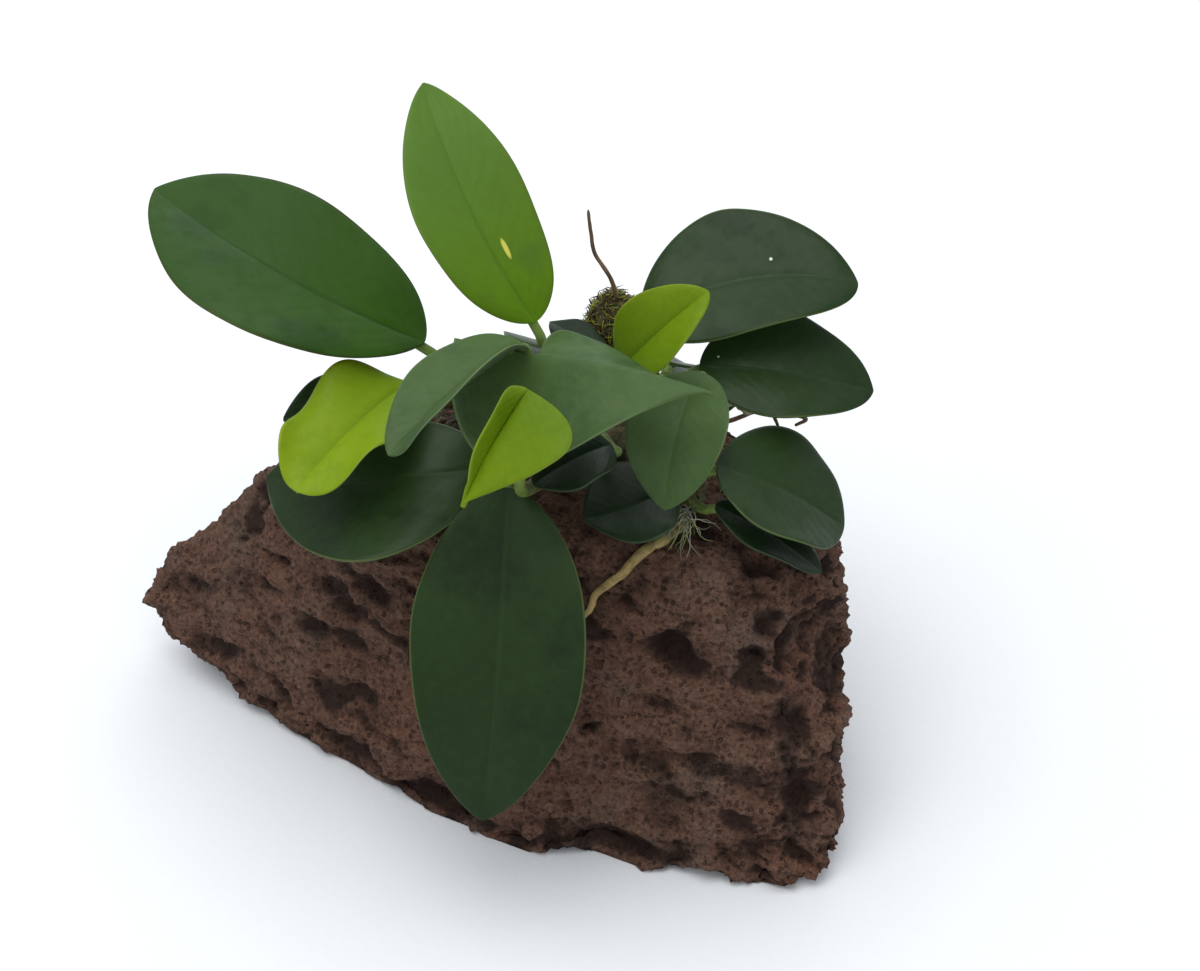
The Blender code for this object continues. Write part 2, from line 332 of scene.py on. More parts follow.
class Effect:
    """A shader node group that is built once and placed in each material with its own values."""

    def __init__(self, name: str, inputs: dict[str, float], outputs: Sequence[str]) -> None:
        """Makes the empty group.

        Args:
            name: the group's name.
            inputs: the value of each input, by its name.
            outputs: the names of its outputs, all numbers.
        """
        self.tree = bpy.data.node_groups.new(name, "ShaderNodeTree")
        sockets = self.tree.interface
        for label, value in inputs.items():
            socket = sockets.new_socket(name=label, in_out="INPUT", socket_type="NodeSocketFloat")
            socket.default_value = value
        for label in outputs:
            sockets.new_socket(name=label, in_out="OUTPUT", socket_type="NodeSocketFloat")
        self.graph = Graph(self.tree)
        self.entry = self.tree.nodes.new("NodeGroupInput").outputs
        self.exit = self.tree.nodes.new("NodeGroupOutput").inputs

    def put(self, label: str, value: Output) -> None:
        """Sends a value out of the group."""
        self.tree.links.new(value, self.exit[label])


class Effects:
    """The effects that the finishes share: mottling, specks, the lines of a leaf, and grain."""

    def __init__(self) -> None:
        """Builds each group once."""
        self.mottle = self.make_mottle()
        self.specks = self.make_specks()
        self.leaf_lines = self.make_leaf_lines()
        self.grain = self.make_grain()

    @staticmethod
    def make_mottle() -> Effect:
        """Builds cloudy patches with soft edges, whose size and amount are set.

        Returns:
            The group.
        """
        effect = Effect("mottle", {"Scale": 200.0, "Amount": 0.5, "Shift": 0.0}, ["Mask"])
        graph = effect.graph
        places = {0: graph.places(), 1: effect.entry["Shift"]}
        shifted = graph.node("VectorMath", places, operation="ADD").outputs[0]
        cloud = graph.noise(effect.entry["Scale"], 4.0, 0.6, shifted)
        low = graph.math("SUBTRACT", 0.85, effect.entry["Amount"])
        effect.put("Mask", graph.ramp(cloud, low, graph.math("ADD", low, 0.22)))
        return effect

    @staticmethod
    def make_specks() -> Effect:
        """Builds round spots scattered at random, of which Amount is the share that show.

        Returns:
            The group.
        """
        effect = Effect("specks", {"Scale": 400.0, "Radius": 0.2, "Amount": 0.1}, ["Mask"])
        graph = effect.graph
        cells = graph.node("TexVoronoi", {"Vector": graph.places(), "Scale": effect.entry["Scale"]})
        chance = graph.node("SeparateColor", {0: cells.outputs["Color"]}).outputs[0]
        shown = graph.math("LESS_THAN", chance, effect.entry["Amount"])
        far = graph.math("DIVIDE", cells.outputs["Distance"], effect.entry["Radius"])
        spot = graph.ramp(graph.math("SUBTRACT", 1.0, far), 0.0, 0.4)
        effect.put("Mask", graph.math("MULTIPLY", spot, shown))
        return effect

    @staticmethod
    def make_leaf_lines() -> Effect:
        """Builds the midrib, the slanting side veins and the thin margin of a blade.

        Returns:
            The group.
        """
        inputs = {"Veins": VEINS, "Slant": VEIN_SLANT, "Rib Width": 0.05, "Margin Width": 0.03}
        effect = Effect("leaf lines", inputs, ["Rib", "Vein", "Margin"])
        graph, entry = effect.graph, effect.entry
        along, across = graph.attribute("along"), graph.attribute("across")
        out = graph.math("ABSOLUTE", across)
        narrow = graph.math("MULTIPLY", entry["Rib Width"], graph.math("SUBTRACT", 1.15, along))
        beside = graph.ramp(graph.math("DIVIDE", out, narrow), 0.35, 1.0)
        effect.put("Rib", graph.math("SUBTRACT", 1.0, beside))
        wander = graph.math("MULTIPLY", graph.noise(160.0, 2.0), 1.4)
        forward = graph.math("MULTIPLY", along, entry["Veins"])
        slanted = graph.math("SUBTRACT", forward, graph.math("MULTIPLY", out, entry["Slant"]))
        half = graph.math("MULTIPLY", graph.math("GREATER_THAN", across, 0.0), 0.5)
        phase = graph.math("FRACT", graph.math("ADD", graph.math("ADD", slanted, wander), half))
        line = graph.math("ABSOLUTE", graph.math("SUBTRACT", phase, 0.5))
        effect.put("Vein", graph.math("SUBTRACT", 1.0, graph.ramp(line, 0.0, 0.16)))
        edge = graph.math("SUBTRACT", out, graph.math("SUBTRACT", 1.0, entry["Margin Width"]))
        effect.put("Margin", graph.ramp(graph.math("DIVIDE", edge, entry["Margin Width"]), -0.2, 0.7))
        return effect

    @staticmethod
    def make_grain() -> Effect:
        """Builds a fine uneven height from two layers of noise.

        Returns:
            The group.
        """
        effect = Effect("grain", {"Scale": 1500.0, "Finer": 3.5}, ["Height"])
        graph = effect.graph
        coarse = graph.noise(effect.entry["Scale"], 4.0, 0.65)
        fine = graph.noise(graph.math("MULTIPLY", effect.entry["Scale"], effect.entry["Finer"]), 3.0, 0.6)
        effect.put("Height", graph.math("ADD", coarse, graph.math("MULTIPLY", fine, 0.4)))
        return effect


def new_material(name: str, **constants: object) -> tuple[bpy.types.Material, Graph, bpy.types.Node]:
    """Makes a Principled material.

    Args:
        name: the material's name.
        **constants: values for the shader's own sockets, whose names have _ for a space.

    Returns:
        The material, a graph to write its nodes in, and its shader.
    """
    made = bpy.data.materials.new(name)
    made.use_nodes = True
    shader = made.node_tree.nodes["Principled BSDF"]
    for label, value in constants.items():
        shader.inputs[label.replace("_", " ")].default_value = value
    return made, Graph(made.node_tree), shader


def dress(
    graph: Graph,
    shader: bpy.types.Node,
    colour: Output,
    roughness: Output,
    height: Output,
    depth: float,
) -> None:
    """Joins a colour, a roughness and a bump to a shader.

    Args:
        graph: the material's nodes.
        shader: its Principled shader.
        colour: the output for Base Color.
        roughness: the output for Roughness.
        height: the output for the bump, from 0 to about 1.
        depth: how high the bump is, in millimetres.
    """
    links = graph.tree.links
    links.new(colour, shader.inputs["Base Color"])
    links.new(roughness, shader.inputs["Roughness"])
    bump = graph.node("Bump", {"Height": height, "Strength": 1.0, "Distance": depth * MM})
    links.new(bump.outputs[0], shader.inputs["Normal"])


@dataclass(frozen=True)
class LeafFinish:
    """The colours and gloss of a blade's upper side, from its stalk to its tip, and of its underside."""

    slot: str
    near: Colour
    far: Colour
    under: Colour
    rib: Colour
    margin: Colour
    patch: Colour
    patch_amount: float = 0.3
    rib_strength: float = 0.5
    vein_strength: float = 0.05
    margin_strength: float = 0.45
    roughness: float = 0.45
    gloss: float = 0.12
    speck_amount: float = 0.0
    glow: float = 0.0
    streak: tuple[float, float] | None = None

    SPECK = (0.62, 0.64, 0.58)
    STREAK = (0.62, 0.60, 0.10)
    STREAK_REACH = 0.05

    def add_streak(self, graph: Graph, colour: Output) -> Output:
        """Paints the pale streak at its place along and across the blade.

        Args:
            graph: the material's nodes.
            colour: the colour under it.

        Returns:
            The colour with the streak.
        """
        squares = []
        for name, place in zip(("along", "across"), self.streak):
            off = graph.math("SUBTRACT", graph.attribute(name), place)
            squares.append(graph.math("POWER", graph.math("DIVIDE", off, self.STREAK_REACH), 2.0))
        return graph.mix(graph.ramp(graph.math("ADD", *squares), 0.3, 1.0, 0.9, 0.0), colour, self.STREAK)

    def material(self, name: str, effects: Effects, shift: float) -> bpy.types.Material:
        """Makes the blade's material.

        Args:
            name: the material's name.
            effects: the shared node groups.
            shift: moves the mottling, so that no two blades are alike.

        Returns:
            The material.
        """
        made, graph, shader = new_material(
            name, Specular_IOR_Level=self.gloss, Subsurface_Weight=self.glow, Subsurface_Scale=0.002
        )
        widths = {"rib_width": 0.06, "margin_width": 0.02}
        lines = graph.group(effects.leaf_lines, veins=VEINS, slant=VEIN_SLANT, **widths).outputs
        colour = graph.mix(graph.ramp(graph.attribute("along"), 0.02, 0.75), self.near, self.far)
        patches = graph.mask(effects.mottle, scale=70.0, amount=self.patch_amount, shift=shift)
        colour = graph.mix(patches, colour, self.patch)
        fine = graph.mask(effects.mottle, scale=620.0, amount=0.42, shift=shift)
        colour = graph.mix(graph.math("MULTIPLY", fine, 0.18), colour, self.rib)
        for line, strength, tint in (
            ("Vein", self.vein_strength, self.rib),
            ("Rib", self.rib_strength, self.rib),
            ("Margin", self.margin_strength, self.margin),
        ):
            colour = graph.mix(graph.math("MULTIPLY", lines[line], strength), colour, tint)
        specks = graph.mask(effects.specks, scale=330.0, radius=0.1, amount=self.speck_amount)
        colour = graph.mix(specks, colour, self.SPECK)
        if self.streak:
            colour = self.add_streak(graph, colour)
        colour = graph.mix(graph.ramp(graph.attribute("under"), 0.3, 0.7), colour, self.under)
        uneven = graph.mask(effects.mottle, scale=260.0, amount=0.4, shift=shift)
        roughness = graph.math("MULTIPLY_ADD", uneven, 0.14, self.roughness)
        grain = graph.mask(effects.grain, scale=900.0)
        height = graph.math("MULTIPLY_ADD", lines["Vein"], 0.12, grain)
        dress(graph, shader, colour, roughness, height, 0.03)
        return made


class Age(Enum):
    """How old a leaf is, or how much painted shade its finish carries, which sets its finish."""

    # A lime leaf in shade: the lime finish with painted shade, made darker.
    LIME_IN_SHADE = "lime_in_shade"
    LIME = "lime"
    FRESH = "fresh"
    GROWN = "grown"
    OLD = "old"
    DULL = "dull"
    SHADED = "shaded"

    @property
    def slot(self) -> str:
        """The record's slot for leaves of this age."""
        return LEAF_FINISHES[self].slot


LEAF_FINISHES = {
    # Painted shade: the lime finish made darker, for the lime leaves that lie in shade.
    Age.LIME_IN_SHADE: LeafFinish(
        "lime_leaf", near=(0.090, 0.165, 0.002), far=(0.125, 0.205, 0.003), under=(0.16, 0.24, 0.02),
        rib=(0.060, 0.115, 0.002), margin=(0.22, 0.30, 0.04), patch=(0.100, 0.180, 0.002), patch_amount=0.35,
        margin_strength=0.3, roughness=0.46, glow=0.08
    ),
    Age.LIME: LeafFinish(
        "lime_leaf", near=(0.13, 0.215, 0.002), far=(0.175, 0.265, 0.005), under=(0.20, 0.28, 0.03),
        rib=(0.090, 0.160, 0.003), margin=(0.28, 0.36, 0.06), patch=(0.145, 0.235, 0.003), patch_amount=0.35,
        margin_strength=0.3, roughness=0.46, glow=0.08
    ),
    Age.FRESH: LeafFinish(
        "mid_leaf", near=(0.090, 0.190, 0.002), far=(0.078, 0.160, 0.022), under=(0.11, 0.18, 0.03),
        rib=(0.058, 0.130, 0.008), margin=(0.14, 0.21, 0.04), patch=(0.070, 0.146, 0.014), patch_amount=0.38,
        vein_strength=0.12, margin_strength=0.3, roughness=0.44, glow=0.06, streak=(0.30, 0.24)
    ),
    Age.GROWN: LeafFinish(
        "mid_leaf", near=(0.026, 0.075, 0.005), far=(0.023, 0.062, 0.007), under=(0.07, 0.12, 0.03),
        rib=(0.014, 0.046, 0.004), margin=(0.08, 0.045, 0.015), patch=(0.016, 0.048, 0.005),
        patch_amount=0.38, vein_strength=0.14, margin_strength=0.3, roughness=0.42, glow=0.02
    ),
    Age.OLD: LeafFinish(
        "dark_leaf", near=(0.017, 0.039, 0.009), far=(0.012, 0.029, 0.0065), under=(0.05, 0.10, 0.04),
        rib=(0.022, 0.052, 0.012), margin=(0.14, 0.17, 0.05), patch=(0.009, 0.021, 0.005), patch_amount=0.38,
        rib_strength=0.3, roughness=0.36, gloss=0.16, speck_amount=0.012
    ),
    Age.DULL: LeafFinish(
        "dark_leaf", near=(0.050, 0.098, 0.023), far=(0.049, 0.092, 0.026), under=(0.07, 0.11, 0.05),
        rib=(0.075, 0.135, 0.044), margin=(0.18, 0.24, 0.10), patch=(0.032, 0.066, 0.020), patch_amount=0.4,
        rib_strength=0.25, roughness=0.5, gloss=0.18
    ),
    Age.SHADED: LeafFinish(
        "dark_leaf", near=(0.009, 0.022, 0.007), far=(0.008, 0.019, 0.006), under=(0.03, 0.06, 0.03),
        rib=(0.014, 0.034, 0.010), margin=(0.05, 0.08, 0.03), patch=(0.005, 0.013, 0.005), patch_amount=0.30,
        rib_strength=0.35, roughness=0.4, gloss=0.2, speck_amount=0.04
    ),
}


@dataclass(frozen=True)
class StemFinish:
    """The colours of a stalk, stem or root from its start to its end, with darker patches."""

    start: Colour
    end: Colour
    patch: Colour
    patch_amount: float = 0.4
    roughness: float = 0.5
    bump: float = 0.08

    def material(self, name: str, effects: Effects, shift: float = 0.0) -> bpy.types.Material:
        """Makes the stem's material.

        Args:
            name: the material's name.
            effects: the shared node groups.
            shift: moves the mottling.

        Returns:
            The material.
        """
        made, graph, shader = new_material(name, Specular_IOR_Level=0.4)
        colour = graph.mix(graph.ramp(graph.attribute("along"), 0.0, 0.6), self.start, self.end)
        patches = graph.mask(effects.mottle, scale=420.0, amount=self.patch_amount, shift=shift)
        colour = graph.mix(graph.math("MULTIPLY", patches, 0.8), colour, self.patch)
        strands = graph.math("SINE", graph.math("MULTIPLY", graph.attribute("around"), 9.0))
        fine = graph.mask(effects.grain, scale=1100.0)
        colour = graph.mix(graph.ramp(fine, 0.75, 1.0, 0.0, 0.35), colour, self.patch)
        height = graph.math("MULTIPLY_ADD", strands, 0.12, fine)
        roughness = graph.math("MULTIPLY_ADD", patches, 0.2, self.roughness)
        dress(graph, shader, colour, roughness, height, self.bump)
        return made


@dataclass(frozen=True)
class FibreFinish:
    """The colours that fine fibres are spread over, each fibre by its own shade."""

    dark: Colour
    light: Colour
    fresh: Colour
    roughness: float = 0.8

    def material(self, name: str, effects: Effects) -> bpy.types.Material:
        """Makes the fibres' material.

        Args:
            name: the material's name.
            effects: the shared node groups.

        Returns:
            The material.
        """
        made, graph, shader = new_material(name, Specular_IOR_Level=0.25)
        shade = graph.attribute("shade")
        colour = graph.mix(graph.ramp(shade, 0.0, 0.7), self.dark, self.light)
        colour = graph.mix(graph.ramp(shade, 0.7, 0.8), colour, self.fresh)
        patches = graph.mask(effects.mottle, scale=700.0, amount=0.35)
        colour = graph.mix(graph.math("MULTIPLY", patches, 0.6), colour, self.dark)
        roughness = graph.math("MULTIPLY_ADD", patches, 0.15, self.roughness)
        dress(graph, shader, colour, roughness, graph.mask(effects.grain, scale=1800.0), 0.04)
        return made


@dataclass(frozen=True)
class LavaFinish:
    """Reddish brown porous lava with dark and pale grain, painted shade in its pits and hollows, and a paler,
    greyer painted highlight on its crests.
    """

    body: Colour = (0.112, 0.058, 0.038)
    red: Colour = (0.135, 0.060, 0.037)
    grey: Colour = (0.110, 0.074, 0.056)
    # pit is both the dark grain and the painted shade in pits and hollows; crest is both the pale grain and
    # the painted highlight on crests.
    pit: Colour = (0.016, 0.008, 0.006)
    crest: Colour = (0.19, 0.110, 0.078)
    roughness: float = 0.93

    def material(self, name: str, effects: Effects) -> bpy.types.Material:
        """Makes the lava's material.

        Args:
            name: the material's name.
            effects: the shared node groups.

        Returns:
            The material.
        """
        made, graph, shader = new_material(name, Specular_IOR_Level=0.22)
        red = graph.mask(effects.mottle, scale=55.0, amount=0.38, shift=0.3)
        grey = graph.mask(effects.mottle, scale=80.0, amount=0.36, shift=0.7)
        colour = graph.mix(graph.math("MULTIPLY", red, 0.8), self.body, self.red)
        colour = graph.mix(graph.math("MULTIPLY", grey, 0.75), colour, self.grey)
        fine = graph.noise(1500.0, 5.0, 0.7)
        colour = graph.mix(graph.ramp(fine, 0.50, 0.70, 0.0, 0.75), colour, self.crest)
        colour = graph.mix(graph.ramp(fine, 0.50, 0.32, 0.0, 0.85), colour, self.pit)
        # Painted highlight on the crests and painted shade in the pits and hollows, from the values that
        # break_up stored.
        colour = graph.mix(graph.ramp(graph.attribute("crest"), 0.15, 1.0, 0.0, 0.7), colour, self.crest)
        colour = graph.mix(graph.ramp(graph.attribute("painted_hollow_shade"), 0.1, 1.0, 0.0, 0.88), colour, self.pit)
        pores = graph.mask(effects.specks, scale=900.0, radius=0.42, amount=0.4)
        colour = graph.mix(graph.math("MULTIPLY", pores, 0.5), colour, self.pit)
        roughness = graph.math("MULTIPLY_ADD", fine, -0.12, self.roughness + 0.06)
        height = graph.math("SUBTRACT", graph.mask(effects.grain, scale=1300.0, finer=2.7), pores)
        dress(graph, shader, colour, roughness, height, 0.42)
        return made


# ---------------------------------------------------------------- the stone


@dataclass(frozen=True)
class Hollow:
    """A broken-out hollow of the stone: its place, how far it reaches along each axis, and its depth."""

    place: Place
    reach: Place
    depth: float

    def share(self, point: Vector) -> float:
        """Works out how deep a point lies in the hollow.

        Args:
            point: the point in millimetres.

        Returns:
            The share of the depth, from 0 outside to 1 in the middle.
        """
        off = (point - Vector(self.place)).to_tuple()
        near = sum((part / reach) ** 2 for part, reach in zip(off, self.reach))
        return (1.0 - near) ** 2 if near < 1.0 else 0.0


STONE_FEATURES = (
    Hollow((30.5, -10, 38), (5, 4, 4), 3.8),
    Hollow((34, -10.5, 36), (4, 3, 2.5), 1.8),
    Hollow((38.5, -14.5, 20.5), (5, 4, 3.5), 1.7),
    Hollow((-27.5, -18, 24.5), (5, 4, 3.5), 1.8),
    Hollow((-21, -17, 31), (5, 4, 3.5), 2.2),
    Hollow((-15.5, -18, 37), (5, 4, 3.5), 2.0),
    Hollow((43, -2, 42), (6, 4, 3), 1.6),
    Hollow((47, -1, 37), (3, 5, 5), 2.4),
    Hollow((50, -6, 28), (3, 5, 7), 2.6),
    Hollow((53, -10, 15), (3, 5, 8), 2.4),
    Hollow((-5, -25, 2.5), (12, 4, 3), 2.2),
    Hollow((28, -21, 4), (15, 4, 3), 2.2),
    Hollow((-46, -17, 12), (8, 4, 3), 1.6),
)


@dataclass
class LavaStone:
    """The lava stone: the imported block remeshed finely, then broken up by crests, lumps and pits."""

    node: bpy.types.Object
    grid: float = 0.62
    crag: float = 1.15
    lump: float = 0.5
    pit: float = 0.45
    seed: Place = (3.1, 7.7, 1.9)
    tree: BVHTree | None = None

    PORES = ((5.2, 0.24, 1.3), (2.7, 0.26, 0.9), (1.5, 0.24, 0.5))
    DEEPEST = -6.0
    HIGHEST = 1.6

    def relief(self, point: Vector) -> tuple[float, float]:
        """Works out how far the surface stands out at a point.

        Args:
            point: the place on the smooth block, in millimetres.

        Returns:
            The height in millimetres, and the depth of pits there from 0 to about 1.
        """
        place = Vector((point.x * 0.8, point.y, point.z * 1.1)) + Vector(self.seed)
        warp = noise.noise_vector(place / 6.0) * 2.2 + noise.noise_vector(place / 2.5) * 0.7
        crags = noise.ridged_multi_fractal((place + warp) / 12.0, 0.85, 2.3, 5, 1.0, 2.0) - 1.1
        lumps = noise.turbulence((place + warp) / 4.5, 4, False, amplitude_scale=0.65) - 0.6
        grain = noise.fractal(place / 1.6, 0.6, 2.2, 3)
        wild = 1 + min(0.5, max(0.0, (point.x - 42) / 14)) + min(0.4, max(0.0, (10 - point.z) / 14))
        height = (self.crag * crags + self.lump * lumps * 1.7) * wild + 0.45 * grain
        depth = 0.0
        for size, edge, deep in self.PORES:
            rise = noise.noise((place + warp * 0.5) / size + Vector((size, 0, 0))) - edge
            depth += deep * min(1.0, max(0.0, rise * 3.5))
        depth *= 0.55 + 0.9 * max(0.0, noise.noise(place / 17.0) + 0.35)
        return height - self.pit * depth * wild, depth * wild * 0.8

    def regrid(self) -> bpy.types.Object:
        """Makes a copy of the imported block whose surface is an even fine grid.

        Returns:
            The copy, linked into the scene.
        """
        made = bpy.data.objects.new("stone_surface", self.node.data.copy())
        bpy.context.scene.collection.objects.link(made)
        made.modifiers.new("join", "WELD").merge_threshold = 0.01 * MM
        remesh = made.modifiers.new("grid", "REMESH")
        remesh.mode = "VOXEL"
        remesh.voxel_size = self.grid * MM
        even = made.modifiers.new("even", "SMOOTH")
        even.iterations = 5
        bpy.context.view_layer.update()
        shape = bpy.data.meshes.new_from_object(made.evaluated_get(bpy.context.evaluated_depsgraph_get()))
        made.modifiers.clear()
        made.data = shape
        made.data.name = "stone_surface"
        log.info("stone grid: %d points", len(shape.vertices))
        return made

    def break_up(self, shape: bpy.types.Mesh) -> None:
        """Moves every point out to its crest or into its hollow, and keeps the foot flat.

        Args:
            shape: the evenly gridded mesh, which also gets its values of painted shade in pits and hollows
                and of painted highlight on crests.
        """
        painted_hollow_shades, painted_crest_highlights = [], []
        normals = [vert.normal.copy() for vert in shape.vertices]
        for vert, normal in zip(shape.vertices, normals):
            point = vert.co / MM
            height, depth = self.relief(point)
            for hollow in STONE_FEATURES:
                inside = hollow.share(point)
                height -= hollow.depth * inside
                # A hollow also deepens the painted shade, so it is painted darker.
                depth += 0.6 * inside
            hold = 1.0 if normal.z > -0.8 else min(1.0, max(0.0, point.z / 3.0))
            point += normal * max(self.DEEPEST, min(self.HIGHEST, height)) * hold
            point.z = max(point.z, 0.0)
            vert.co = point * MM
            # Painted shade: darker in pits, hollows and low places. Painted highlight: paler on high crests.
            painted_hollow_shades.append(min(1.0, max(0.0, depth * 0.6 - 0.35 * height)))
            painted_crest_highlights.append(min(1.0, max(0.0, height * 0.7)))
        for label, numbers in (("painted_hollow_shade", painted_hollow_shades), ("crest", painted_crest_highlights)):
            shape.attributes.new(label, "FLOAT", "POINT").data.foreach_set("value", numbers)

    def build(self, finish: bpy.types.Material) -> bpy.types.Object:
        """Makes the stone's piece, and a tree of its surface for the roots to cling to.

        Args:
            finish: the lava's material.

        Returns:
            The piece.
        """
        made = self.regrid()
        shape = made.data
        self.break_up(shape)
        shape.materials.clear()
        shape.materials.append(finish)
        shape.shade_smooth()
        self.tree = surface_tree(shape)
        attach(made, "root")
        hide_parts("stone")
        log.info("stone: %d faces", len(shape.polygons))
        return made


# ---------------------------------------------------------------- the plant


@dataclass(frozen=True)
class Ground:
    """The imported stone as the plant's solids were laid on it."""

    tree: BVHTree
    centre: Vector = Vector((2.0, 4.0, 24.0))

    @classmethod
    def of(cls, node: bpy.types.Object) -> "Ground":
        """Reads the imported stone's mesh."""
        return cls(surface_tree(node.data))

    def resting_place(self, x: float, y: float, radius: float) -> Vector:
        """Lowers a ball onto the stone.

        Args:
            x: the ball's place along the stone, in millimetres.
            y: its place across the stone.
            radius: its radius.

        Returns:
            The ball's centre where it rests.
        """
        centre = self.tree.ray_cast(Vector((x, y, 200.0)), -UP)[0] + UP * radius
        for _ in range(20):
            centre.z += max(0.0, radius - self.tree.find_nearest(centre)[3])
        return centre


def grip(tree: BVHTree, place: Vector, lift: float, centre: Vector) -> Vector:
    """Finds the point above a surface, seen from a centre, in the direction of a place.

    Args:
        tree: the surface.
        place: any point in the wanted direction.
        lift: how far above the surface the point is, in millimetres.
        centre: a point inside the surface.

    Returns:
        The point.
    """
    direction = (place - centre).normalized()
    found = tree.ray_cast(centre + direction * 200.0, -direction)[0]
    return (found or place) + direction * lift


@dataclass
class Branch:
    """One branch of the rhizome: the places on the stone's crown that it creeps over, and its girth."""

    node: str
    places: tuple[tuple[float, float], ...]
    radius: float
    tip_radius: float
    ring: float = 2.3
    path: list[Vector] = field(default_factory=list)

    def lay(self, ground: Ground) -> None:
        """Works out the branch's axis on the stone."""
        rests = [ground.resting_place(x, y, self.radius + GAP) for x, y in self.places]
        self.path = smooth_path(rests, 4)

    def girth(self, share: float, turn: float, length: float) -> float:
        """Works out the radius with its leaf scars and knobs.

        Args:
            share: the place along the branch, from 0 to 1.
            turn: the turn about its axis, in radians.
            length: the branch's length in millimetres.

        Returns:
            The radius in millimetres.
        """
        plain = tapered(self.radius, self.tip_radius, share)
        spot = Vector((math.cos(turn) * 1.2, math.sin(turn) * 1.2, share * length / 2.4))
        phase = (share * length / self.ring + 0.25 * noise.noise(spot)) % 1.0
        scar = -0.13 * math.exp(-(((phase - 0.5) / 0.12) ** 2))
        knobs = 0.12 * noise.fractal(spot, 0.8, 2.1, 3)
        end = math.sqrt(max(0.0, 1.0 - max(0.0, (share - 0.88) / 0.12) ** 2))
        start = math.sqrt(max(0.0, 1.0 - max(0.0, (0.06 - share) / 0.06) ** 2))
        return max(0.05, plain * (1.0 + scar + knobs) * end * start)

    def build(self, finish: bpy.types.Material) -> bpy.types.Object:
        """Makes the branch's piece.

        Args:
            finish: the bark's material.

        Returns:
            The piece.
        """
        path = smooth_path(self.path, 10)
        length = sum((b - a).length for a, b in zip(path, path[1:]))
        skin = Skin()
        skin.tube(path, lambda share, turn: self.girth(share, turn, length), 32)
        made = skin.piece(self.node + "_bark", finish)
        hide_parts(self.node)
        return made


BRANCHES = (
    Branch("rhizome_main", ((2, 24), (4, 16), (7, 8), (8, 1)), 3.3, 2.6),
    Branch("rhizome_left", ((-1.5, 18), (-8, 17), (-15, 9)), 2.7, 2.2),
    Branch("rhizome_right", ((10.0, 11), (19, 9), (28, 7)), 2.7, 2.2),
)


